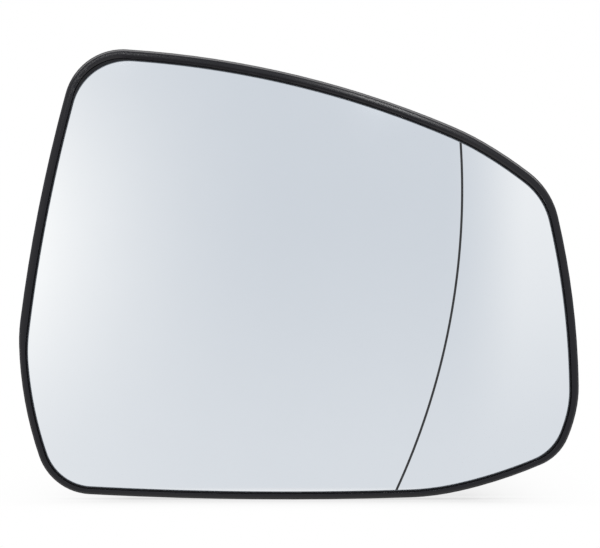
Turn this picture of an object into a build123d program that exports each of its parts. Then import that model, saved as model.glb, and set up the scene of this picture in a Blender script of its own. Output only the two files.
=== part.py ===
from build123d import *
import math
import os

# Glass unit of a right-hand door mirror, in millimetres, in the place it has on the car: the glass faces
# -Y, +X points away from the car and +Z is up. The origin is the middle of the clip ring on the back, in
# the plane where the snap fingers catch the actuator, and the actuator comes off along +Y.

# Rim outline seen from in front: places where neighbouring sides would meet, as (across, up), clockwise
TOP_LEFT = (-66.9, 79.1)
TOP_BEND = (57.8, 51.7)
UPPER_RIGHT = (85.2, 33.0)
RIGHT_BEND = (94.1, -32.1)
LOWER_RIGHT = (87.4, -52.7)
BOTTOM_BEND = (46.2, -65.4)
LOWER_LEFT = (-75.0, -64.0)
LEFT_KNEE = (-86.1, -12.2)

# Rounding of the outline at each of those places
TOP_LEFT_ROUND = 19.0
TOP_BEND_ROUND = 90.0
UPPER_RIGHT_ROUND = 25.0
RIGHT_BEND_ROUND = 34.0
LOWER_RIGHT_ROUND = 16.0
BOTTOM_BEND_ROUND = 85.0
LOWER_LEFT_ROUND = 18.0
LEFT_KNEE_ROUND = 52.0

# How far each side bows out past the straight line between its two ends
TOP_BOW = 6.4
TOP_END_BOW = 1.0
RIGHT_BOW = 2.1
RIGHT_END_BOW = 1.25
BOTTOM_END_BOW = 1.5
BOTTOM_BOW = 1.45
LEFT_LOWER_BOW = 2.95
LEFT_UPPER_BOW = 2.0

# Width of the rim along each side: it is widest above the glass and narrowest below it
TOP_RIM = 2.9
TOP_END_RIM = 2.85
RIGHT_RIM = 2.3
RIGHT_END_RIM = 2.1
BOTTOM_END_RIM = 1.8
BOTTOM_RIM = 1.75
LEFT_LOWER_RIM = 1.9
LEFT_UPPER_RIM = 2.5

# Curvature of the glass: a sphere up to the dividing line, then ever tighter towards the outer end
GLASS_RADIUS = 1400.0
OUTER_END_RADIUS = 400.0
OUTER_END_WIDTH = 45.0
LINE_CENTRE = (-175.7, 33.5)
LINE_RADIUS = 232.1
LINE_WIDTH = 0.75
LINE_DEPTH = 0.1

# Layers from front to back
GLASS_THICKNESS = 2.0
GLASS_SEAM = 0.25
PAD_THICKNESS = 0.5
PAD_MARGIN = 3.0
PLATE_THICKNESS = 2.0

# Section of the rim: above the glass its inner face slopes back from the crest
RIM_PROUD = 0.8
RIM_CHAMFER = 0.65
RIM_SLOPE_WIDTH = 1.0
RIM_SLOPE_DEPTH = 0.6
SKIRT_HEIGHT = 1.8
SKIRT_WALL = 2.0
SKIRT_CHAMFER = 0.5

# Gap round the glass, and how much rounder the glass is than the opening of the rim at its corners
GLASS_GAP = 0.6
CORNER_EASE = 0.3
TOP_LEFT_EASE = 2.7
LOWER_RIGHT_EASE = 2.5

# Clip ring that holds the actuator: hooked snap fingers with plain collar pieces between them
CLIP_HEIGHT = 6.5
COLLAR_RADIUS = 27.0
COLLAR_WALL = 2.0
COLLAR_HEIGHT = 5.0
FINGER_COUNT = 6
FINGER_SPAN = 28.0
FINGER_WALL = 1.8
FINGER_SLOT = 1.8
HOOK_REACH = 1.2
HOOK_LENGTH = 1.6
HOOK_LEAD = 1.4
MOULD_WINDOW_CLEARANCE = 0.4
KEY_WIDTH = 3.0
KEY_REACH = 0.9
SEAT_RADIUS = 18.0
SEAT_WALL = 1.6
SEAT_HEIGHT = 2.0

# Stiffening ribs on the back of the plate
RIB_COUNT = 12
RIB_THICKNESS = 1.4
RIB_HEIGHT = 4.0
FINGER_ROOM = 6.0
RING_SPACING = 20.6

# Heater terminals between the two rings, each a bent blade riveted to the heating film in a framed window
TERMINAL_ANGLES = {"terminal_upper": 165.0, "terminal_lower": 195.0}
BLADE_WIDTH = 6.3
BLADE_THICKNESS = 0.8
BLADE_HEIGHT = 9.0
BLADE_TIP = 1.2
BLADE_HOLE_RADIUS = 0.9
BLADE_HOLE_FROM_TIP = 3.0
FOOT_LENGTH = 7.0
BEND_RADIUS = 0.5
FOOT_GAP = 0.02
RIVET_RADIUS = 1.0
RIVET_HEAD_RADIUS = 1.9
RIVET_HEAD_HEIGHT = 0.7
RIVET_CLEARANCE = 0.05
WINDOW_MARGIN = 1.2
WINDOW_WALL = 1.2

# Working values
CORNERS = [TOP_LEFT, TOP_BEND, UPPER_RIGHT, RIGHT_BEND, LOWER_RIGHT, BOTTOM_BEND, LOWER_LEFT, LEFT_KNEE]
ROUNDS = [TOP_LEFT_ROUND, TOP_BEND_ROUND, UPPER_RIGHT_ROUND, RIGHT_BEND_ROUND, LOWER_RIGHT_ROUND,
          BOTTOM_BEND_ROUND, LOWER_LEFT_ROUND, LEFT_KNEE_ROUND]
BOWS = [TOP_BOW, TOP_END_BOW, RIGHT_BOW, RIGHT_END_BOW, BOTTOM_END_BOW, BOTTOM_BOW, LEFT_LOWER_BOW,
        LEFT_UPPER_BOW]
RIMS = [TOP_RIM, TOP_END_RIM, RIGHT_RIM, RIGHT_END_RIM, BOTTOM_END_RIM, BOTTOM_RIM, LEFT_LOWER_RIM,
        LEFT_UPPER_RIM]
EASES = [TOP_LEFT_EASE, CORNER_EASE, CORNER_EASE, CORNER_EASE, LOWER_RIGHT_EASE, CORNER_EASE, CORNER_EASE,
         CORNER_EASE]
NONE = [0.0] * len(CORNERS)
BACKWARDS = Vector(0, 1, 0)
PAD_FRONT = GLASS_THICKNESS
PAD_BACK = PAD_FRONT + PAD_THICKNESS
PLATE_MIDDLE = PAD_BACK + PLATE_THICKNESS / 2
PLATE_BACK = PAD_BACK + PLATE_THICKNESS
RIM_BACK = PLATE_BACK + SKIRT_HEIGHT
PLATE_Y = -CLIP_HEIGHT
GLASS_Y = PLATE_Y - PLATE_BACK
RIB_TOP_Y = PLATE_Y + RIB_HEIGHT
PAD_GAP = GLASS_GAP + PAD_MARGIN
HOOK_RADIUS = COLLAR_RADIUS - HOOK_REACH
INNER_RING_RADIUS = COLLAR_RADIUS + COLLAR_WALL + FINGER_ROOM
OUTER_RING_RADIUS = INNER_RING_RADIUS + RIB_THICKNESS + RING_SPACING
TERMINAL_RADIUS = OUTER_RING_RADIUS - RING_SPACING / 2
RIM_SLOPE = RIM_SLOPE_WIDTH / RIM_SLOPE_DEPTH
SLOPE_GAP = RIM_SLOPE * (RIM_PROUD - RIM_SLOPE_DEPTH)
REACH = 2 * max(math.hypot(x, z) for x, z in CORNERS)
SURFACE_MARGIN = 12.0
SURFACE_STEP = 12.0
SURFACE_TOLERANCE = 0.002
SLOPE_STEP = 0.1


def sag(x, z):
    """How far the glass falls back at a place, from where it is foremost, over the clip ring."""
    sphere = GLASS_RADIUS - math.sqrt(GLASS_RADIUS ** 2 - x ** 2 - z ** 2)
    past_line = max(0.0, math.hypot(x - LINE_CENTRE[0], z - LINE_CENTRE[1]) - LINE_RADIUS)
    tightening = (1 / OUTER_END_RADIUS - 1 / GLASS_RADIUS) / OUTER_END_WIDTH
    return sphere + tightening * past_line ** 3 / 6


def steps(values):
    """Evenly spaced places that cover the given coordinates with a margin."""
    start = min(values) - SURFACE_MARGIN
    length = max(values) + SURFACE_MARGIN - start
    count = math.ceil(length / SURFACE_STEP)
    return [start + length * i / count for i in range(count + 1)]


def glass_surface():
    """The curved surface that every layer follows, its foremost point at the origin."""
    across = steps([x for x, z in CORNERS])
    up = steps([z for x, z in CORNERS])
    places = [[(x, sag(x, z), z) for z in up] for x in across]
    return Face.make_surface_from_array_of_points(places, tol=SURFACE_TOLERANCE)


SURFACE = glass_surface()


def layer(front, back):
    """Curved slab between two depths behind the front of the glass."""
    return extrude(Pos(0, GLASS_Y + front, 0) * SURFACE, amount=back - front, dir=BACKWARDS)


def side_circle(index, inset):
    """Centre and radius of the arc of one side, moved inwards."""
    start = Vector(*CORNERS[index])
    end = Vector(*CORNERS[(index + 1) % len(CORNERS)])
    bow = BOWS[index]
    chord = end - start
    radius = (chord.length ** 2 / 4 + bow ** 2) / (2 * bow)
    outwards = chord.normalized().rotate(Axis.Z, 90)
    return (start + end) / 2 + outwards * (bow - radius), radius - inset


def corner_round(first, second, radius, corner):
    """Centre of the rounding that lies inside two side arcs and touches both, and where it touches them."""
    (centre_1, radius_1), (centre_2, radius_2) = first, second
    reach_1 = radius_1 - radius
    reach_2 = radius_2 - radius
    between = centre_2 - centre_1
    along = (reach_1 ** 2 - reach_2 ** 2 + between.length ** 2) / (2 * between.length)
    height = math.sqrt(reach_1 ** 2 - along ** 2)
    direction = between.normalized()
    foot = centre_1 + direction * along
    sideways = direction.rotate(Axis.Z, 90) * height
    centre = min((foot + sideways, foot - sideways), key=lambda place: (place - corner).length)
    touch_1 = centre_1 + (centre - centre_1).normalized() * radius_1
    touch_2 = centre_2 + (centre - centre_2).normalized() * radius_2
    return centre, touch_1, touch_2


def arc_about(centre, start, end):
    """The shorter arc from start to end about a centre."""
    radius = (start - centre).length
    middle = centre + ((start - centre) + (end - centre)).normalized() * radius
    return ThreePointArc(start, middle, end)


def outline(inset=0.0, rims=NONE, eases=NONE):
    """Flat outline past the given widths of rim, moved further inwards, with its corners eased."""
    count = len(CORNERS)
    sides = [side_circle(index, rims[index] + inset) for index in range(count)]
    rounds = []
    for index in range(count):
        radius = ROUNDS[index] - (rims[index - 1] + rims[index]) / 2 - inset + eases[index]
        rounds.append(corner_round(sides[index - 1], sides[index], radius, Vector(*CORNERS[index])))
    edges = []
    for index in range(count):
        centre, arrival, departure = rounds[index]
        next_arrival = rounds[(index + 1) % count][1]
        edges.append(arc_about(centre, arrival, departure))
        edges.append(arc_about(sides[index][0], departure, next_arrival))
    return make_face(edges)


def prism(sketch, top=REACH):
    """Flat shape seen from in front, carried backwards from well in front of the glass to a depth."""
    return extrude(Plane.XZ.offset(REACH) * sketch, amount=top + REACH, dir=BACKWARDS)


def ring(radius, wall):
    """Flat ring about the clip axis, given by its inner radius."""
    return Circle(radius + wall) - Circle(radius)


def sector(inner, outer, middle, span):
    """Flat piece of a ring about the clip axis."""
    inside = CenterArc((0, 0), inner, middle - span / 2, span)
    outside = CenterArc((0, 0), outer, middle - span / 2, span)
    return make_face([inside, outside, Line(inside @ 0, outside @ 0), Line(inside @ 1, outside @ 1)])


def spoke(start, end, width, angle):
    """Flat bar that points away from the clip axis."""
    return Rot(0, 0, angle) * Pos((start + end) / 2, 0) * Rectangle(end - start, width)


def finger_angles():
    """Middle angle of each snap finger; the plain collar pieces are halfway between them."""
    return [360 / FINGER_COUNT * (index + 0.5) for index in range(FINGER_COUNT)]


def collar_angles():
    """Middle angle of each plain collar piece."""
    return [360 / FINGER_COUNT * index for index in range(FINGER_COUNT)]


def terminal_place(angle):
    """Frame on the back of the heating film: origin under the rivet, x outwards, z off the film."""
    x = TERMINAL_RADIUS * math.cos(math.radians(angle))
    z = TERMINAL_RADIUS * math.sin(math.radians(angle))
    depth = sag(x, z)
    slope = Vector(sag(x + SLOPE_STEP, z) - depth, 0, sag(x, z + SLOPE_STEP) - depth) / SLOPE_STEP
    outwards = Vector(x, 0, z).normalized()
    return Plane(
        origin=(x, GLASS_Y + PAD_BACK + depth, z),
        x_dir=outwards + BACKWARDS * outwards.dot(slope),
        z_dir=BACKWARDS - slope)


def mirror_glass():
    """Bent glass with a seamed edge and the dividing line etched through its front coat."""
    pane = layer(0, GLASS_THICKNESS) & prism(outline(GLASS_GAP, RIMS, EASES))
    front_and_back = pane.faces().sort_by(SortBy.AREA)[-2:]
    pane = chamfer(front_and_back.edges(), GLASS_SEAM)
    line = Pos(*LINE_CENTRE) * ring(LINE_RADIUS - LINE_WIDTH / 2, LINE_WIDTH)
    return pane - (layer(-LINE_DEPTH, LINE_DEPTH) & prism(line))


def heater_pad():
    """Heating film that bonds the glass to the plate, with a hole for each rivet."""
    pad = layer(PAD_FRONT, PAD_BACK) & prism(outline(PAD_GAP, RIMS))
    for angle in TERMINAL_ANGLES.values():
        pad -= terminal_place(angle) * Cylinder(RIVET_RADIUS + RIVET_CLEARANCE, REACH)
    return pad


def rim_and_plate():
    """Curved slab hollowed from the front for the glass and from the back to leave the plate and skirt."""
    blank = layer(-RIM_PROUD, RIM_BACK) & prism(outline())
    seat = layer(-RIM_PROUD - REACH, PAD_BACK) & prism(outline(0, RIMS))
    hollow = layer(PLATE_BACK, RIM_BACK + REACH) & prism(outline(SKIRT_WALL))
    shell = blank - seat - hollow
    shell = chamfer(rim_faces(shell)[0].outer_wire().edges(), RIM_CHAMFER)
    shell = chamfer(rim_faces(shell)[-1].outer_wire().edges(), SKIRT_CHAMFER)
    return shell - sloped_opening()


def sloped_opening():
    """The opening at the front of the glass, carried forwards and up so that it cuts only the upper rim."""
    opening = layer(0, GLASS_THICKNESS) & prism(outline(SLOPE_GAP, RIMS))
    front = opening.faces().sort_by(SortBy.AREA)[-2:].sort_by(Axis.Y)[0]
    return extrude(front, amount=2 * RIM_PROUD * math.hypot(1, RIM_SLOPE), dir=(0, -1, RIM_SLOPE))


def rim_faces(shell):
    """Faces of the rim that run all the way round, from front to back."""
    return ShapeList(face for face in shell.faces() if face.inner_wires()).sort_by(Axis.Y)


def snap_finger(angle):
    """Snap finger with its hook and lead-in, turned about the clip axis."""
    tip = HOOK_LENGTH + HOOK_LEAD
    root = PLATE_Y - PLATE_THICKNESS
    back = COLLAR_RADIUS + FINGER_WALL
    profile = Polyline(
        (back, root), (back, tip), (HOOK_RADIUS + HOOK_LEAD, tip), (HOOK_RADIUS, HOOK_LENGTH),
        (HOOK_RADIUS, 0), (COLLAR_RADIUS, 0), (COLLAR_RADIUS, root), close=True)
    finger = revolve(make_face(profile), Axis.Y, FINGER_SPAN)
    return Rot(0, -angle - FINGER_SPAN / 2, 0) * finger


def collar():
    """Clip ring: plain pieces that centre the actuator, two keys that stop it turning, and the fingers."""
    slot = math.degrees(FINGER_SLOT / COLLAR_RADIUS)
    span = 360 / FINGER_COUNT - FINGER_SPAN - 2 * slot
    pieces = [sector(COLLAR_RADIUS, COLLAR_RADIUS + COLLAR_WALL, angle, span) for angle in collar_angles()]
    for angle in collar_angles()[::FINGER_COUNT // 2]:
        pieces.append(spoke(COLLAR_RADIUS - KEY_REACH, COLLAR_RADIUS + COLLAR_WALL, KEY_WIDTH, angle))
    plain = [prism(piece, PLATE_Y + COLLAR_HEIGHT) for piece in pieces]
    return plain + [snap_finger(angle) for angle in finger_angles()]


def ribs():
    """Seat ring inside the collar, and the spokes and rings that stiffen the plate round it."""
    solids = [prism(ring(SEAT_RADIUS, SEAT_WALL), PLATE_Y + SEAT_HEIGHT)]
    for radius in (INNER_RING_RADIUS, OUTER_RING_RADIUS):
        solids.append(prism(ring(radius, RIB_THICKNESS), RIB_TOP_Y))
    for index in range(RIB_COUNT):
        angle = 360 / RIB_COUNT * index
        start = COLLAR_RADIUS + COLLAR_WALL / 2 if angle in collar_angles() else INNER_RING_RADIUS
        solids.append(prism(spoke(start, REACH, RIB_THICKNESS, angle), RIB_TOP_Y))
    return solids


def terminal_window(angle, wall=0.0):
    """Flat shape of the opening round one terminal, or of the wall round that opening."""
    length = FOOT_LENGTH + 2 * (WINDOW_MARGIN + wall)
    width = BLADE_WIDTH + 2 * (WINDOW_MARGIN + wall)
    return Rot(0, 0, angle) * Pos(TERMINAL_RADIUS, 0) * Rectangle(length, width)


def backing_plate():
    """The black moulding: rim, plate, clip ring and ribs in one piece."""
    frames = [prism(terminal_window(angle, WINDOW_WALL), RIB_TOP_Y) for angle in TERMINAL_ANGLES.values()]
    room = layer(PLATE_MIDDLE, PLATE_MIDDLE + REACH) & prism(outline(SKIRT_WALL / 2))
    raised = Part() + collar() + ribs() + frames
    body = rim_and_plate() + (raised & room)
    for angle in finger_angles():
        inner = HOOK_RADIUS - MOULD_WINDOW_CLEARANCE
        body -= prism(sector(inner, COLLAR_RADIUS, angle, FINGER_SPAN), PLATE_Y / 2)
    for angle in TERMINAL_ANGLES.values():
        body -= prism(terminal_window(angle))
    return body


def terminal(angle):
    """Blade terminal: a foot on the heating film, bent up into a blade with a nosed tip and a hole."""
    foot_end = FOOT_LENGTH / 2
    path = FilletPolyline(
        (-foot_end, BLADE_THICKNESS / 2), (foot_end - BLADE_THICKNESS / 2, BLADE_THICKNESS / 2),
        (foot_end - BLADE_THICKNESS / 2, BLADE_HEIGHT), radius=BEND_RADIUS + BLADE_THICKNESS / 2)
    strip = extrude(Plane.XZ * trace(path, BLADE_THICKNESS), BLADE_WIDTH / 2, both=True)
    tip_edges = strip.faces().sort_by(Axis.Z)[-1].edges().filter_by(Axis.X)
    strip = chamfer(tip_edges, BLADE_TIP)
    across = Plane.YZ.offset(foot_end - BLADE_THICKNESS / 2)
    strip -= across * Pos(0, BLADE_HEIGHT - BLADE_HOLE_FROM_TIP) * Cylinder(BLADE_HOLE_RADIUS, FOOT_LENGTH)
    strip -= Cylinder(RIVET_RADIUS + RIVET_CLEARANCE, FOOT_LENGTH)
    return terminal_place(angle) * Pos(0, 0, FOOT_GAP) * strip


def rivet(angle):
    """Rivet with a domed head on the foot and its shank in the film."""
    foot_top = FOOT_GAP + BLADE_THICKNESS
    crown = foot_top + RIVET_HEAD_HEIGHT
    dome_radius = (RIVET_HEAD_RADIUS ** 2 + RIVET_HEAD_HEIGHT ** 2) / (2 * RIVET_HEAD_HEIGHT)
    dome = arc_about(Vector(0, crown - dome_radius), Vector(RIVET_HEAD_RADIUS, foot_top), Vector(0, crown))
    sides = Polyline(
        (0, crown), (0, -PAD_THICKNESS / 2), (RIVET_RADIUS, -PAD_THICKNESS / 2), (RIVET_RADIUS, foot_top),
        (RIVET_HEAD_RADIUS, foot_top))
    profile = make_face([dome, sides])
    return terminal_place(angle) * revolve(Plane.XZ * profile, Axis.Z)


def main():
    os.makedirs("parts", exist_ok=True)
    export_step(mirror_glass(), "parts/mirror_glass.step")
    export_step(heater_pad(), "parts/heater_pad.step")
    export_step(backing_plate(), "parts/backing_plate.step")
    for name, angle in TERMINAL_ANGLES.items():
        export_step(terminal(angle), f"parts/{name}.step")
    rivets = [rivet(angle) for angle in TERMINAL_ANGLES.values()]
    export_step(Compound(children=rivets), "parts/terminal_rivets.step")


if __name__ == "__main__":
    main()
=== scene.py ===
from collections import namedtuple
import math

import bmesh
import bpy
from bpy.props import FloatProperty, FloatVectorProperty, PointerProperty
from bpy.types import Operator, Panel, PropertyGroup
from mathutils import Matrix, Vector
from mathutils.geometry import delaunay_2d_cdt


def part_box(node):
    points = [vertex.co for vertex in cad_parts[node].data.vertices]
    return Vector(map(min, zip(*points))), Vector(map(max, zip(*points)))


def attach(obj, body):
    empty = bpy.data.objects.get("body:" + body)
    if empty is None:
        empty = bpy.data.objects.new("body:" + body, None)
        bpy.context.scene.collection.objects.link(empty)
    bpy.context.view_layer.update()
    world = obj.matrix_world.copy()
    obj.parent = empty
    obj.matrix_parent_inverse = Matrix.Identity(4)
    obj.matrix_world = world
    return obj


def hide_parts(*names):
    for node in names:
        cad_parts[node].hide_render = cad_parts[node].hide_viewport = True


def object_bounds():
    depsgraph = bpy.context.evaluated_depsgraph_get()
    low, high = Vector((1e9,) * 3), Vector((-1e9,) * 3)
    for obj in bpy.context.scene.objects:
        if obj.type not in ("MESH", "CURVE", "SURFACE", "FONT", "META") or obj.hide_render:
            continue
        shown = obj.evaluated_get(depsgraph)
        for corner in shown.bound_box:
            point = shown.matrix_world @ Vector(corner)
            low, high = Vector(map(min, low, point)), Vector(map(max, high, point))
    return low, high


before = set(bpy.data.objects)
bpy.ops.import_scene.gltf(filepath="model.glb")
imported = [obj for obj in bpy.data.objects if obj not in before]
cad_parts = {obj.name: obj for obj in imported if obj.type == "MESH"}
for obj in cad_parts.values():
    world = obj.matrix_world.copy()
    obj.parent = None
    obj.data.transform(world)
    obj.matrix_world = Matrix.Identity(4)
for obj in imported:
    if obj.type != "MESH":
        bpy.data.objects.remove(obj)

bl_info = {
    "name": "Door Mirror Glass",
    "version": (1, 0, 0),
    "blender": (4, 5, 0),
    "location": "3D View > Sidebar > Door Mirror",
    "description": "Finishes the glass unit of a right-hand door mirror and stands it in a white studio",
    "category": "Object",
}

CAD_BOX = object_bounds()
GLASS_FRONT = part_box("mirror_glass")[0].y
FLOOR_HEIGHT = CAD_BOX[0].z

# Rim outline from in front, clockwise: each corner with its rounding and how much rounder the glass is
# there, then the bow and the rim's width along the side after it
Corner = namedtuple("Corner", "across up rounding ease bow rim")
OUTLINE = (
    Corner(-0.0669, 0.0791, 0.019, 0.0027, 0.0064, 0.0029),
    Corner(0.0578, 0.0517, 0.090, 0.0003, 0.0010, 0.00285),
    Corner(0.0852, 0.0330, 0.025, 0.0003, 0.0021, 0.0023),
    Corner(0.0941, -0.0321, 0.034, 0.0003, 0.00125, 0.0021),
    Corner(0.0874, -0.0527, 0.016, 0.0025, 0.0015, 0.0018),
    Corner(0.0462, -0.0654, 0.085, 0.0003, 0.00145, 0.00175),
    Corner(-0.0750, -0.0640, 0.018, 0.0003, 0.00295, 0.0019),
    Corner(-0.0861, -0.0122, 0.052, 0.0003, 0.0020, 0.0025),
)

# Places of the finishes on the glass
COAT, GROUND, LINE, PAINT = range(4)

# Room that the glass faces, by the slope of a direction across and up. Each light end of the room has the
# slopes across at which it begins and is full, how it rises between them, its strength all the way up, and
# the strength that it gains round one height
LightEnd = namedtuple("LightEnd", "start full rise exponent strength gain height fade")
LEFT_END = LightEnd(0.009, -0.20, "LINEAR", 2.2, 0.23, 0.82, 0.05, 0.196)
RIGHT_END = LightEnd(0.114, 0.20, "SMOOTHSTEP", 1.0, 0.0, 0.64, 0.096, 0.27)

# Slopes up between which the walls grow lighter downwards, turn white above and turn dark below
LOW_LIGHT = 0.197
LOW_SLOPES = (0.074, -0.166)
SKY_SLOPES = (2.0, 10.0)
GROUND_SLOPES = (-0.35, -1.2)

# Slopes across at which the dark ground has light pools, and how far back it reaches round the sides
POOL_SLOPES = ((-0.32, -0.2), (-0.49, -0.58))
GROUND_BACK = (0.35, 0.1)
LEAST_FORWARDS = 0.05

# Shadow on the floor, thinned with painted white light away from the rim: how far it stays deep to either
# side, as a share of the width, what a distance behind the rim counts for, and how wide the strip next to
# the rim is and how much more painted light lightens it
STANDING_SHARE = 0.3
BEHIND_SHARE = 0.1
UNDER_WIDTH = 0.012
UNDER_PAINTED_LIGHT = 0.4

# Floor: its size, how much it glows with painted white light in reflections instead of showing its shade,
# and the distances from the rim over which they lose it
FLOOR_SIZE = 6.0
REFLECTED_PAINTED_WHITE = 0.85
REFLECTED_REACH = (0.01, 0.025)

# Lamps: place, what each points at, width and height
Lamp = namedtuple("Lamp", "place target width height")
OVERHEAD = Lamp((0.0, 0.0, 0.95), (0.0, 0.0, 0.0), 2.6, 0.3)
LAMP_LEFT = Lamp((-0.187, -0.9, 0.255), (-0.053, 0.0, 0.078), 0.05, 0.02)
LAMP_RIGHT = Lamp((0.105, -0.9, 0.21), (0.035, 0.0, 0.06), 0.05, 0.02)


def length(name, description, default):
    """A size in metres that the user can change."""
    return FloatProperty(name=name, description=description, default=default, unit="LENGTH", precision=5)


def colour(name, description, default):
    """A colour, as linear red, green and blue, that the user can change."""
    return FloatVectorProperty(
        name=name, description=description, default=default, size=3, min=0.0, max=1.0, subtype="COLOR")


def power(name, description, default):
    """A lamp's power in watts that the user can change."""
    return FloatProperty(
        name=name, description=description, default=default, min=0.0, max=100.0, unit="POWER")


def share(name, description, default):
    """A share between none and all that the user can change."""
    return FloatProperty(
        name=name, description=description, default=default, min=0.0, max=1.0, subtype="FACTOR")


class GlassSettings(PropertyGroup):
    """Sizes and colours of the mirror glass."""
    radius: length("Radius", "Radius of the sphere that the inner part of the glass follows", 1.4)
    end_radius: length("Outer end radius", "Tightest radius, at the outer end", 0.4)
    end_width: length("Outer end width", "Distance past the dividing line to the tightest radius", 0.045)
    line_across: length("Line centre across", "Centre of the dividing line's arc, across", -0.1757)
    line_up: length("Line centre up", "Centre of the dividing line's arc, up", 0.0335)
    line_radius: length("Line radius", "Radius of the dividing line's arc", 0.2321)
    line_width: length("Line width", "Width of the etched dividing line", 0.00075)
    line_depth: length("Line depth", "Depth of the etched dividing line", 0.0001)
    thickness: length("Thickness", "Thickness of the glass", 0.002)
    seam: length("Seam", "Width of the ground seam along each edge", 0.00025)
    gap: length("Gap", "Gap between the rim and the edge of the glass", 0.0006)
    spacing: length("Mesh spacing", "Distance between the points of the mesh", 0.0015)
    coat: colour("Coat", "Chromed reflecting coat", (0.955, 0.97, 0.98))
    ground: colour("Ground edge", "Ground seam and edge", (0.50, 0.56, 0.63))
    line: colour("Line", "Etched dividing line", (0.036, 0.036, 0.038))
    paint: colour("Back paint", "Protective paint on the back of the glass", (0.11, 0.115, 0.12))


class MouldingSettings(PropertyGroup):
    """Finish of the black backing plate."""
    plastic: colour("Plastic", "Black plastic of the backing plate and rim", (0.0022, 0.0011, 0.0048))
    roughness: share("Roughness", "Roughness of the rim's polished front", 0.19)
    satin: share("Satin", "Roughness of the satin sides and back", 0.4)
    grain: length("Grain", "Size of the mould's fine grain", 0.0003)
    grain_height: length("Grain height", "Height of the mould's fine grain", 0.0000003)
    edge: length("Edge rounding", "Rounding of the moulding's edges", 0.0002)


class HeaterSettings(PropertyGroup):
    """Finish of the heating film and its terminals."""
    film: colour("Film", "Carbon printed heating film", (0.035, 0.034, 0.036))
    track: colour("Track", "Printed conductor tracks on the film", (0.32, 0.31, 0.29))
    track_spacing: length("Track spacing", "Distance between the conductor tracks", 0.004)
    track_width: length("Track width", "Width of the conductor tracks", 0.0009)
    tin: colour("Tin", "Tinned surface of the terminals", (0.72, 0.70, 0.66))
    rivet: colour("Rivet", "Bare brass of the rivets", (0.70, 0.55, 0.30))


class StudioSettings(PropertyGroup):
    """Camera, floor and light."""
    distance: length("Camera distance", "From the foremost point of the glass to the camera", 1.1)
    centre_across: length("View centre across", "Place across that the camera looks at", 0.0043)
    centre_up: length("View centre up", "Place up that the camera looks at", 0.0062)
    view_width: length("View width", "Width that the picture shows at the glass", 0.1925)
    floor: colour("Floor", "Pale floor", (0.80, 0.80, 0.80))
    room: colour("Room", "Plain side of the room that the glass faces", (0.646, 0.682, 0.733))
    window: colour("Window", "Bright ends of the room that the glass faces", (1.0, 1.0, 1.0))
    ground: colour("Ground", "Dark ground below what the glass faces", (0.32, 0.325, 0.335))
    ambient: FloatProperty(
        name="Ambient", description="Strength of the even light from all round", default=0.42, min=0, max=2)
    overhead: power("Overhead", "Power of the soft lamp overhead", 10.0)
    lamp_left: power("Left lamp", "Power of the small lamp to the left above the camera", 0.10)
    lamp_right: power("Right lamp", "Power of the small lamp to the right above the camera", 0.32)
    # What the floor doesn't keep of its shadow is painted over with white light
    shadow_depth: share("Shadow depth", "Share of the shadow that the floor keeps", 0.52)
    shadow_reach: length("Shadow reach", "Distance in which the shadow on the floor fades", 0.02)
    shadow_end: length("Shadow end", "Distance at which the floor has run out into white", 0.07)


class Value:
    """A quantity that varies over a surface: wraps a socket, and arithmetic on it adds Math nodes."""

    def __init__(self, graph, socket):
        self.graph = graph
        self.socket = socket

    def __add__(self, other):
        return self.graph.math("ADD", self, other)

    def __sub__(self, other):
        return self.graph.math("SUBTRACT", self, other)

    def __rsub__(self, other):
        return self.graph.math("SUBTRACT", other, self)

    def __mul__(self, other):
        return self.graph.math("MULTIPLY", self, other)

    def __truediv__(self, other):
        return self.graph.math("DIVIDE", self, other)

    def __mod__(self, other):
        return self.graph.math("FLOORED_MODULO", self, other)

    def __pow__(self, other):
        return self.graph.math("POWER", self, other)

    def __abs__(self):
        return self.graph.math("ABSOLUTE", self)

    def __neg__(self):
        return self.graph.math("MULTIPLY", self, -1.0)

    __radd__ = __add__
    __rmul__ = __mul__

    def at_least(self, limit):
        return self.graph.math("MAXIMUM", self, limit)

    def at_most(self, limit):
        return self.graph.math("MINIMUM", self, limit)

    def exponential(self):
        return self.graph.math("EXPONENT", self)

    def ramp(self, start, end, interpolation="SMOOTHSTEP"):
        """Rises from 0 at start to 1 at end, and stays there on either side."""
        return self.graph.node(
            "ShaderNodeMapRange", "Result", {"interpolation_type": interpolation, "clamp": True},
            {"Value": self, "From Min": start, "From Max": end})

    def output(self, name):
        """Another output of the node that this one comes from."""
        return Value(self.graph, self.socket.node.outputs[name])


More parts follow.
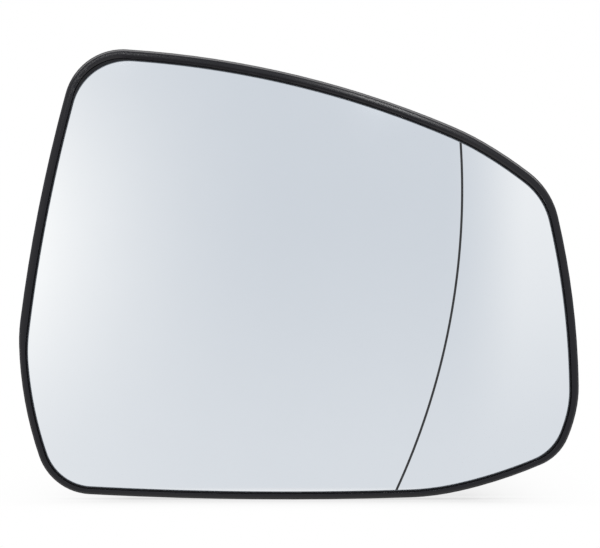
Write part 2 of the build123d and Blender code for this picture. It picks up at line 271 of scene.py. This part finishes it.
class Graph:
    """The node tree of a material or of the world, built from nothing."""

    def __init__(self, tree):
        self.tree = tree
        tree.nodes.clear()

    def node(self, kind, output, settings=None, sockets=None):
        """Adds a node with its settings, then its sockets by name or place, and gives one of its outputs."""
        node = self.tree.nodes.new(kind)
        for name, value in (settings or {}).items():
            setattr(node, name, value)
        for name, value in (sockets or {}).items():
            if isinstance(value, Value):
                self.tree.links.new(value.socket, node.inputs[name])
            else:
                node.inputs[name].default_value = value
        return Value(self, node.outputs[output]) if output is not None else None

    def math(self, operation, *operands):
        """Result of a Math node."""
        return self.node("ShaderNodeMath", "Value", {"operation": operation}, dict(enumerate(operands)))

    def mix(self, factor, first, second):
        """Colour between two colours."""
        return self.node(
            "ShaderNodeMix", 2, {"data_type": "RGBA"}, {0: factor, 6: opaque(first), 7: opaque(second)})

    def place(self):
        """Position on the object, in metres."""
        return self.node("ShaderNodeTexCoord", "Object")

    def noise(self, vector, size, detail):
        """Soft noise between 0 and 1, about as coarse as the given size."""
        return self.node(
            "ShaderNodeTexNoise", "Fac", {}, {"Vector": vector, "Scale": 1.0 / size, "Detail": detail})

    def stretched(self, vector, scale):
        """Position scaled along each axis."""
        return self.node(
            "ShaderNodeVectorMath", "Vector", {"operation": "MULTIPLY"}, {0: vector, 1: scale})

    def bump(self, height, distance):
        """Surface normal of a height between 0 and 1 that stands for a distance."""
        return self.node("ShaderNodeBump", "Normal", {}, {"Height": height, "Distance": distance})

    def surface(self, shader):
        """Makes a shader the surface."""
        self.node("ShaderNodeOutputMaterial", None, {}, {"Surface": shader})

    def principled(self, **sockets):
        """Makes a Principled shader the surface; a socket's name has underscores for spaces."""
        named = {name.replace("_", " "): value for name, value in sockets.items()}
        self.surface(self.node("ShaderNodeBsdfPrincipled", "BSDF", {}, named))


def opaque(value):
    """A colour of three numbers with full alpha; a Value passes through."""
    return value if isinstance(value, Value) else (*value, 1.0)


def shade(value, factor):
    """A colour made lighter or darker."""
    return tuple(min(1.0, part * factor) for part in value)


def new_material(name):
    """An empty node material and its graph."""
    material = bpy.data.materials.new(name)
    material.use_nodes = True
    return material, Graph(material.node_tree)


def chrome_coat(settings):
    """Mirror coat: clean chrome with a trace of haze and the slight waviness of bent glass."""
    material, graph = new_material("chrome_coat")
    place = graph.place()
    haze = graph.noise(place, size=0.012, detail=5.0)
    wave = graph.noise(place, size=0.035, detail=1.0)
    graph.principled(
        Base_Color=graph.mix(haze, shade(settings.coat, 0.985), settings.coat),
        Metallic=1.0,
        Roughness=0.02 + 0.02 * haze,
        Normal=graph.bump(wave, distance=0.000004))
    return material


def ground_glass(settings):
    """Ground seam: pale and rough, with the marks of the wheel."""
    material, graph = new_material("ground_glass")
    speckle = graph.noise(graph.place(), size=0.00025, detail=3.0)
    graph.principled(
        Base_Color=graph.mix(speckle, shade(settings.ground, 0.94), shade(settings.ground, 1.05)),
        Roughness=0.42 + 0.2 * speckle,
        Normal=graph.bump(speckle, distance=0.000003))
    return material


def etched_line(settings):
    """Line where the coat is etched away."""
    material, graph = new_material("etched_line")
    speckle = graph.noise(graph.place(), size=0.0002, detail=3.0)
    graph.principled(
        Base_Color=graph.mix(speckle, shade(settings.line, 0.7), shade(settings.line, 1.3)),
        Roughness=0.55 + 0.2 * speckle)
    return material


def back_paint(settings):
    """Grey paint that protects the back of the glass."""
    material, graph = new_material("back_paint")
    cloud = graph.noise(graph.place(), size=0.006, detail=4.0)
    graph.principled(
        Base_Color=graph.mix(cloud, shade(settings.paint, 0.85), shade(settings.paint, 1.15)),
        Roughness=0.45 + 0.15 * cloud)
    return material


def black_plastic(settings):
    """Moulded black plastic: glossy in front, else satin, with a fine grain and traces of its flow."""
    material, graph = new_material("black_plastic")
    place = graph.place()
    grain = graph.noise(place, settings.grain, detail=2.0)
    flow = graph.noise(graph.stretched(place, (1.0, 1.0, 0.4)), size=0.018, detail=3.0)
    facing = graph.node("ShaderNodeSeparateXYZ", "Y", {}, {"Vector": place.output("Normal")})
    front = (-facing).ramp(0.3, 0.7)
    roughness = settings.satin + (settings.roughness - settings.satin) * front
    graph.principled(
        Base_Color=graph.mix(flow, shade(settings.plastic, 0.8), shade(settings.plastic, 1.2)),
        Roughness=roughness - 0.06 + 0.08 * flow + 0.05 * grain,
        IOR=1.43,
        Normal=graph.bump(grain, settings.grain_height))
    return material


def heating_film(settings):
    """Dark printed film with silver-grey conductor tracks."""
    material, graph = new_material("heating_film")
    place = graph.place()
    up = graph.node("ShaderNodeSeparateXYZ", "Z", {}, {"Vector": place})
    ripple = 0.0006 * graph.noise(place, size=0.004, detail=1.0)
    phase = (up + ripple) % settings.track_spacing
    off_track = abs(phase - settings.track_spacing / 2)
    track = 1 - off_track.ramp(settings.track_width * 0.45, settings.track_width * 0.55)
    speckle = graph.noise(place, size=0.0003, detail=3.0)
    film = graph.mix(speckle, shade(settings.film, 0.75), shade(settings.film, 1.25))
    graph.principled(
        Base_Color=graph.mix(track, film, settings.track),
        Roughness=0.5 + 0.15 * speckle - 0.1 * track,
        Normal=graph.bump(track + 0.3 * speckle, distance=0.00001))
    return material


def stamped_metal(name, tint):
    """Stamped metal with a fine drawn grain and dulled patches."""
    material, graph = new_material(name)
    place = graph.place()
    drawn = graph.noise(graph.stretched(place, (1.0, 0.06, 1.0)), size=0.00012, detail=3.0)
    dull = graph.noise(place, size=0.0025, detail=4.0)
    graph.principled(
        Base_Color=graph.mix(dull, shade(tint, 0.82), tint),
        Metallic=1.0,
        Roughness=0.2 + 0.14 * dull + 0.1 * drawn,
        Normal=graph.bump(drawn, distance=0.000006))
    return material


def side_circle(first, second, inset):
    """Centre and radius of the arc of one side of the opening, moved inwards."""
    start = Vector((first.across, first.up))
    end = Vector((second.across, second.up))
    chord = end - start
    radius = (chord.length_squared / 4 + first.bow ** 2) / (2 * first.bow)
    outwards = Vector((-chord.y, chord.x)).normalized()
    return (start + end) / 2 + outwards * (first.bow - radius), radius - first.rim - inset


def corner_round(first, second, radius, corner):
    """Centre of the rounding that touches two side arcs from inside, and where it touches them."""
    (centre_1, radius_1), (centre_2, radius_2) = first, second
    reach_1 = radius_1 - radius
    reach_2 = radius_2 - radius
    between = centre_2 - centre_1
    along = (reach_1 ** 2 - reach_2 ** 2 + between.length_squared) / (2 * between.length)
    height = math.sqrt(reach_1 ** 2 - along ** 2)
    direction = between.normalized()
    foot = centre_1 + direction * along
    sideways = Vector((-direction.y, direction.x)) * height
    centre = min((foot + sideways, foot - sideways), key=lambda place: (place - corner).length)
    touch_1 = centre_1 + (centre - centre_1).normalized() * radius_1
    touch_2 = centre_2 + (centre - centre_2).normalized() * radius_2
    return centre, touch_1, touch_2


def arc_samples(centre, start, end, spacing):
    """Points and outward directions along the clockwise arc from start up to, but without, end."""
    radius = (start - centre).length
    first = math.atan2(start.y - centre.y, start.x - centre.x)
    last = math.atan2(end.y - centre.y, end.x - centre.x)
    turn = (first - last) % math.tau
    count = max(1, math.ceil(turn * radius / spacing))
    samples = []
    for step in range(count):
        angle = first - turn * step / count
        outwards = Vector((math.cos(angle), math.sin(angle)))
        samples.append((centre + outwards * radius, outwards))
    return samples


def outline_samples(inset, spacing):
    """Points and outward directions all round an outline inside the opening of the rim."""
    sides = [side_circle(*ends, inset) for ends in loop_edges(OUTLINE)]
    rounds = []
    for index, corner in enumerate(OUTLINE):
        rim = (OUTLINE[index - 1].rim + corner.rim) / 2
        radius = corner.rounding - rim - inset + corner.ease
        place = Vector((corner.across, corner.up))
        rounds.append(corner_round(sides[index - 1], sides[index], radius, place))
    samples = []
    for side, (here, following) in zip(sides, loop_edges(rounds)):
        side_centre = side[0]
        next_arrival = following[1]
        centre, arrival, departure = here
        samples += arc_samples(centre, arrival, departure, spacing / 2)
        samples += arc_samples(side_centre, departure, next_arrival, spacing)
    return samples


class GlassForm:
    """The bent surface of the glass: a sphere, then ever tighter past the dividing line."""

    def __init__(self, settings):
        self.settings = settings
        self.line_centre = Vector((settings.line_across, settings.line_up))
        self.tightening = (1 / settings.end_radius - 1 / settings.radius) / settings.end_width

    def past_line(self, point):
        """Distance of a place past the middle of the dividing line."""
        return (point - self.line_centre).length - self.settings.line_radius

    def sag(self, point):
        """How far the glass falls back at a place."""
        radius = self.settings.radius
        sphere = radius - math.sqrt(radius ** 2 - point.length_squared)
        return sphere + self.tightening * max(0.0, self.past_line(point)) ** 3 / 6

    def at(self, point, depth):
        """Position behind the front of the glass at a place."""
        return Vector((point.x, GLASS_FRONT + self.sag(point) + depth, point.y))

    def normal(self, point):
        """Direction in which the front faces at a place."""
        sphere = point / math.sqrt(self.settings.radius ** 2 - point.length_squared)
        away = (point - self.line_centre).normalized()
        slope = sphere + away * self.tightening * max(0.0, self.past_line(point)) ** 2 / 2
        return Vector((slope.x, -1, slope.y)).normalized()


def line_edges(form, offset, low, high, spacing):
    """Points along one edge of the dividing line, from below the glass to above it."""
    radius = form.settings.line_radius + offset
    bottom = math.asin((low - form.line_centre.y) / radius)
    top = math.asin((high - form.line_centre.y) / radius)
    count = math.ceil((top - bottom) * radius / spacing)
    angles = [bottom + (top - bottom) * step / count for step in range(count + 1)]
    return [form.line_centre + Vector((math.cos(angle), math.sin(angle))) * radius for angle in angles]


def inside(point, loop):
    """Whether a place lies inside a closed loop of points."""
    odd = False
    for first, second in zip(loop, loop[1:] + loop[:1]):
        if (first.y > point.y) != (second.y > point.y):
            crossing = first.x + (point.y - first.y) / (second.y - first.y) * (second.x - first.x)
            odd = odd != (point.x < crossing)
    return odd


def front_triangles(form, samples):
    """Flat triangles that fill the front of the glass, divided along both edges of the etched line."""
    settings = form.settings
    spacing = settings.spacing
    loop = [point for point, outwards in samples]
    low = min(point.y for point in loop) - spacing
    high = max(point.y for point in loop) + spacing
    left = min(point.x for point in loop)
    right = max(point.x for point in loop)
    points = list(loop)
    edges = []
    for offset in (-settings.line_width / 2, settings.line_width / 2):
        start = len(points)
        points += line_edges(form, offset, low, high, spacing)
        edges += [(index, index + 1) for index in range(start, len(points) - 1)]
    clearance = 0.7 * spacing
    clear = [point - outwards * clearance for point, outwards in samples]
    for row in range(math.ceil((high - low) / spacing)):
        shift = 0.5 * (row % 2)
        for column in range(math.ceil((right - left) / spacing)):
            point = Vector((left + (column + shift) * spacing, low + row * spacing))
            if abs(form.past_line(point)) > clearance and inside(point, clear):
                points.append(point)
    inside_only = 1
    tolerance = 1e-7
    filled = delaunay_2d_cdt(points, edges, [list(range(len(loop)))], inside_only, tolerance)
    return filled[0], [turned(triangle, filled[0]) for triangle in filled[2]]


def turned(triangle, points):
    """The triangle's corners in counter-clockwise order, as seen from in front."""
    first, second, third = (points[index] for index in triangle)
    turn = (second - first).cross(third - first)
    return tuple(triangle) if turn > 0 else tuple(reversed(triangle))


def loop_edges(loop):
    """Pairs of neighbours round a closed loop."""
    return zip(loop, (*loop[1:], loop[0]))


def glass_mesh(settings):
    """Glass pane: front with the recessed line, seams and edge all round, and back."""
    form = GlassForm(settings)
    samples = outline_samples(settings.gap + settings.seam, settings.spacing)
    flat, triangles = front_triangles(form, samples)
    etched = []
    owner = {}
    for number, triangle in enumerate(triangles):
        middle = sum((flat[index] for index in triangle), Vector((0, 0))) / len(triangle)
        etched.append(abs(form.past_line(middle)) < settings.line_width / 2)
        for edge in loop_edges(triangle):
            owner[edge] = number
    border = [edge for edge in owner if edge[::-1] not in owner]
    outwards = {}
    for index, following in border:
        outwards[index] = min(samples, key=lambda sample: (sample[0] - flat[index]).length_squared)[1]

    mesh = bmesh.new()

    def vertices(indices, depth, offset=0.0):
        places = {index: flat[index] + outwards.get(index, Vector((0, 0))) * offset for index in indices}
        return {index: mesh.verts.new(form.at(place, depth)) for index, place in places.items()}

    def add_face(corners, finish):
        mesh.faces.new(corners).material_index = finish

    front = vertices(range(len(flat)), 0.0)
    on_line = {index for triangle, is_etched in zip(triangles, etched) if is_etched for index in triangle}
    recess = vertices(on_line, settings.line_depth)
    rings = [
        front,
        vertices(outwards, settings.seam, settings.seam),
        vertices(outwards, settings.thickness - settings.seam, settings.seam),
        vertices(range(len(flat)), settings.thickness),
    ]
    for triangle, is_etched in zip(triangles, etched):
        level = recess if is_etched else front
        add_face([level[index] for index in triangle], LINE if is_etched else COAT)
        add_face([rings[-1][index] for index in reversed(triangle)], PAINT)
    for edge, number in owner.items():
        across = owner.get(edge[::-1])
        if etched[number] and (across is None or not etched[across]):
            start, end = edge
            add_face((front[start], front[end], recess[end], recess[start]), LINE)
    for before, after in zip(rings, rings[1:]):
        for start, end in border:
            add_face((before[end], before[start], after[start], after[end]), GROUND)
    for face in mesh.faces:
        face.smooth = True
    data = bpy.data.meshes.new("mirror_glass_pane")
    mesh.to_mesh(data)
    mesh.free()
    smooth_front(data, form)
    return data


def smooth_front(data, form):
    """Keeps the seams crisp and gives the reflecting front the exact direction of the bent surface."""
    data.set_sharp_from_angle(angle=math.radians(20))
    normals = [Vector()] * len(data.loops)
    for polygon in data.polygons:
        if polygon.material_index in (COAT, LINE):
            for index in polygon.loop_indices:
                place = data.vertices[data.loops[index].vertex_index].co
                normals[index] = form.normal(Vector((place.x, place.z)))
    data.normals_split_custom_set(normals)


def add_piece(name, data, node):
    """Puts a piece in the scene in place of a node of the frame."""
    piece = bpy.data.objects.new(name, data)
    bpy.context.scene.collection.objects.link(piece)
    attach(piece, "root")
    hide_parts(node)
    return piece


def dress(node, material):
    """Gives a node of the frame its finish."""
    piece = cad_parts[node]
    piece.data.materials.clear()
    piece.data.materials.append(material)
    return piece


def join_faces(piece):
    """Joins the points that neighbouring faces of a node share."""
    weld = piece.modifiers.new("joined_faces", "WELD")
    weld.merge_threshold = 0.000001


class DOORMIRROR_OT_glass(Operator):
    """Build the bent mirror glass with its seams and its etched dividing line"""
    bl_idname = "door_mirror.glass"
    bl_label = "Mirror Glass"

    def execute(self, context):
        settings = context.scene.door_mirror_glass
        pane = add_piece("mirror_glass_pane", glass_mesh(settings), "mirror_glass")
        pane.visible_diffuse = False
        for make in (chrome_coat, ground_glass, etched_line, back_paint):
            pane.data.materials.append(make(settings))
        return {"FINISHED"}


class DOORMIRROR_OT_backing_plate(Operator):
    """Finish the black moulding with the rim, the clip ring and the ribs"""
    bl_idname = "door_mirror.backing_plate"
    bl_label = "Backing Plate"

    def execute(self, context):
        settings = context.scene.door_mirror_moulding
        plate = dress("backing_plate", black_plastic(settings))
        join_faces(plate)
        rounding = plate.modifiers.new("edge_rounding", "BEVEL")
        rounding.width = settings.edge
        rounding.segments = 3
        rounding.limit_method = "ANGLE"
        rounding.angle_limit = math.radians(25)
        rounding.loop_slide = False
        return {"FINISHED"}


class DOORMIRROR_OT_heater_pad(Operator):
    """Finish the heating film behind the glass"""
    bl_idname = "door_mirror.heater_pad"
    bl_label = "Heater Pad"

    def execute(self, context):
        dress("heater_pad", heating_film(context.scene.door_mirror_heater))
        return {"FINISHED"}


class DOORMIRROR_OT_terminals(Operator):
    """Finish the two blade terminals and their rivets"""
    bl_idname = "door_mirror.terminals"
    bl_label = "Heater Terminals"

    def execute(self, context):
        settings = context.scene.door_mirror_heater
        tin = stamped_metal("tinned_brass", settings.tin)
        for node in ("terminal_upper", "terminal_lower"):
            dress(node, tin)
        join_faces(dress("terminal_rivets", stamped_metal("rivet_brass", settings.rivet)))
        return {"FINISHED"}


def light_end(end, sideways, upwards):
    """Strength of one light end of the room in a direction."""
    strength = end.strength + end.gain * (1 - abs(upwards - end.height).ramp(0.0, end.fade))
    return sideways.ramp(end.start, end.full, end.rise) ** end.exponent * strength


def reflected_room(graph, settings, direction):
    """What glossy surfaces see: a plain room with light ends, white above and dark ground below."""
    across = graph.node("ShaderNodeSeparateXYZ", "X", {}, {"Vector": direction})
    back = across.output("Y")
    forwards = (-back).at_least(LEAST_FORWARDS)
    sideways = across / forwards
    upwards = across.output("Z") / forwards
    light = light_end(LEFT_END, sideways, upwards) + light_end(RIGHT_END, sideways, upwards)
    low = LOW_LIGHT * upwards.ramp(*LOW_SLOPES)
    walls = graph.mix(light + low, settings.room, settings.window)
    lit = graph.mix(upwards.ramp(*SKY_SLOPES), walls, settings.window)
    inner_pool, outer_pool = (sideways.ramp(*slopes) for slopes in POOL_SLOPES)
    ground = graph.mix(inner_pool + outer_pool, settings.ground, settings.window)
    return graph.mix(upwards.ramp(*GROUND_SLOPES) * back.ramp(*GROUND_BACK), lit, ground)


def studio_world(settings):
    """White for the camera, even light for rough surfaces, and a room for what the glass reflects."""
    world = bpy.data.worlds.new("studio")
    world.use_nodes = True
    bpy.context.scene.world = world
    graph = Graph(world.node_tree)
    direction = graph.node("ShaderNodeTexCoord", "Generated")
    path = graph.node("ShaderNodeLightPath", "Is Camera Ray")
    seen = graph.mix(path, reflected_room(graph, settings, direction), settings.window)
    mirrored = (path.output("Is Glossy Ray") + path.output("Is Transmission Ray") + path).at_most(1.0)
    ambient = graph.node(
        "ShaderNodeBackground", "Background", {},
        {"Color": opaque(settings.window), "Strength": settings.ambient})
    backdrop = graph.node("ShaderNodeBackground", "Background", {}, {"Color": seen, "Strength": 1.0})
    shader = graph.node("ShaderNodeMixShader", "Shader", {}, {0: mirrored, 1: ambient, 2: backdrop})
    graph.node("ShaderNodeOutputWorld", None, {}, {"Surface": shader})


def footprint_distance(graph):
    """Distance on the floor from where the rim stands, less behind it, and how near it is to the rim."""
    low, high = CAD_BOX
    across = graph.node("ShaderNodeSeparateXYZ", "X", {}, {"Vector": graph.place()})
    back = across.output("Y")
    beside = (abs(across - (low.x + high.x) / 2) - (high.x - low.x) * STANDING_SHARE).at_least(0.0)
    before = (low.y - back).at_least(0.0)
    behind = (back - high.y).at_least(0.0)
    away = (beside ** 2 + before ** 2 + (BEHIND_SHARE * behind) ** 2) ** 0.5
    # Strip next to the rim, which the floor's painted white light lightens further
    under = 1 - (before + behind).ramp(0.0, UNDER_WIDTH)
    return away, under


def studio_floor(settings):
    """Pale floor that keeps part of the shadow round the glass under painted white light, and runs out into
    the white background.
    """
    mesh = bmesh.new()
    bmesh.ops.create_grid(mesh, x_segments=1, y_segments=1, size=FLOOR_SIZE / 2)
    bmesh.ops.translate(mesh, verts=mesh.verts, vec=(0, 0, FLOOR_HEIGHT))
    data = bpy.data.meshes.new("floor")
    mesh.to_mesh(data)
    mesh.free()
    material, graph = new_material("pale_floor")
    away, under = footprint_distance(graph)
    # Painted white light for the camera thins the floor's shadow with distance from the rim, more in the
    # strip under it
    kept = (away / -settings.shadow_reach).exponential()
    depth = settings.shadow_depth * (1 - UNDER_PAINTED_LIGHT * under)
    fade = 1 - depth * kept * (1 - away.ramp(0.0, settings.shadow_end))
    camera = graph.node("ShaderNodeLightPath", "Is Camera Ray")
    glossy = camera.output("Is Glossy Ray")
    paint = graph.node("ShaderNodeBsdfDiffuse", "BSDF", {}, {"Color": opaque(settings.floor)})
    white = graph.node(
        "ShaderNodeEmission", "Emission", {}, {"Color": opaque(settings.window), "Strength": 1.0})
    # In reflections the floor near the rim glows painted white instead of showing its shade
    painted_white_share = fade * camera + REFLECTED_PAINTED_WHITE * glossy
    seen = graph.node("ShaderNodeMixShader", "Shader", {}, {0: painted_white_share, 1: paint, 2: white})
    clear = graph.node("ShaderNodeBsdfTransparent", "BSDF")
    beyond = glossy * away.ramp(*REFLECTED_REACH)
    graph.surface(graph.node("ShaderNodeMixShader", "Shader", {}, {0: beyond, 1: seen, 2: clear}))
    data.materials.append(material)
    floor = bpy.data.objects.new("floor", data)
    bpy.context.scene.collection.objects.link(floor)


def soft_lamp(name, lamp, watts):
    """Rectangular soft lamp that points at its target."""
    data = bpy.data.lights.new(name, "AREA")
    data.shape = "RECTANGLE"
    data.size = lamp.width
    data.size_y = lamp.height
    data.energy = watts
    light = bpy.data.objects.new(name, data)
    light.location = lamp.place
    light.rotation_euler = (Vector(lamp.target) - Vector(lamp.place)).to_track_quat("-Z", "Y").to_euler()
    bpy.context.scene.collection.objects.link(light)


def studio_camera(settings):
    """Camera square on to the glass, framed as the picture is."""
    data = bpy.data.cameras.new("camera")
    data.lens = data.sensor_width * settings.distance / settings.view_width
    camera = bpy.data.objects.new("camera", data)
    camera.location = (settings.centre_across, GLASS_FRONT - settings.distance, settings.centre_up)
    camera.rotation_euler = (math.radians(90), 0, 0)
    bpy.context.scene.collection.objects.link(camera)
    bpy.context.scene.camera = camera


class DOORMIRROR_OT_studio(Operator):
    """Set up the floor, the light and the camera"""
    bl_idname = "door_mirror.studio"
    bl_label = "Studio"

    def execute(self, context):
        settings = context.scene.door_mirror_studio
        context.scene.view_settings.view_transform = "Standard"
        studio_world(settings)
        studio_floor(settings)
        soft_lamp("overhead", OVERHEAD, settings.overhead)
        soft_lamp("lamp_left", LAMP_LEFT, settings.lamp_left)
        soft_lamp("lamp_right", LAMP_RIGHT, settings.lamp_right)
        studio_camera(settings)
        return {"FINISHED"}


class DOORMIRROR_PT_panel(Panel):
    """Steps that finish the glass unit, in order"""
    bl_label = "Door Mirror Glass"
    bl_idname = "DOORMIRROR_PT_panel"
    bl_space_type = "VIEW_3D"
    bl_region_type = "UI"
    bl_category = "Door Mirror"

    def draw(self, context):
        for operator in OPERATORS:
            self.layout.operator(operator.bl_idname)


SETTINGS = {
    "door_mirror_glass": GlassSettings,
    "door_mirror_moulding": MouldingSettings,
    "door_mirror_heater": HeaterSettings,
    "door_mirror_studio": StudioSettings,
}
OPERATORS = (
    DOORMIRROR_OT_glass, DOORMIRROR_OT_backing_plate, DOORMIRROR_OT_heater_pad, DOORMIRROR_OT_terminals,
    DOORMIRROR_OT_studio)


def register():
    for settings in SETTINGS.values():
        bpy.utils.register_class(settings)
    for name, settings in SETTINGS.items():
        setattr(bpy.types.Scene, name, PointerProperty(type=settings))
    for operator in OPERATORS:
        bpy.utils.register_class(operator)
    bpy.utils.register_class(DOORMIRROR_PT_panel)


def unregister():
    bpy.utils.unregister_class(DOORMIRROR_PT_panel)
    for operator in reversed(OPERATORS):
        bpy.utils.unregister_class(operator)
    for name, settings in SETTINGS.items():
        delattr(bpy.types.Scene, name)
        bpy.utils.unregister_class(settings)


def main():
    register()
    bpy.ops.door_mirror.glass()
    bpy.ops.door_mirror.backing_plate()
    bpy.ops.door_mirror.heater_pad()
    bpy.ops.door_mirror.terminals()
    bpy.ops.door_mirror.studio()


if __name__ == "__main__":
    main()
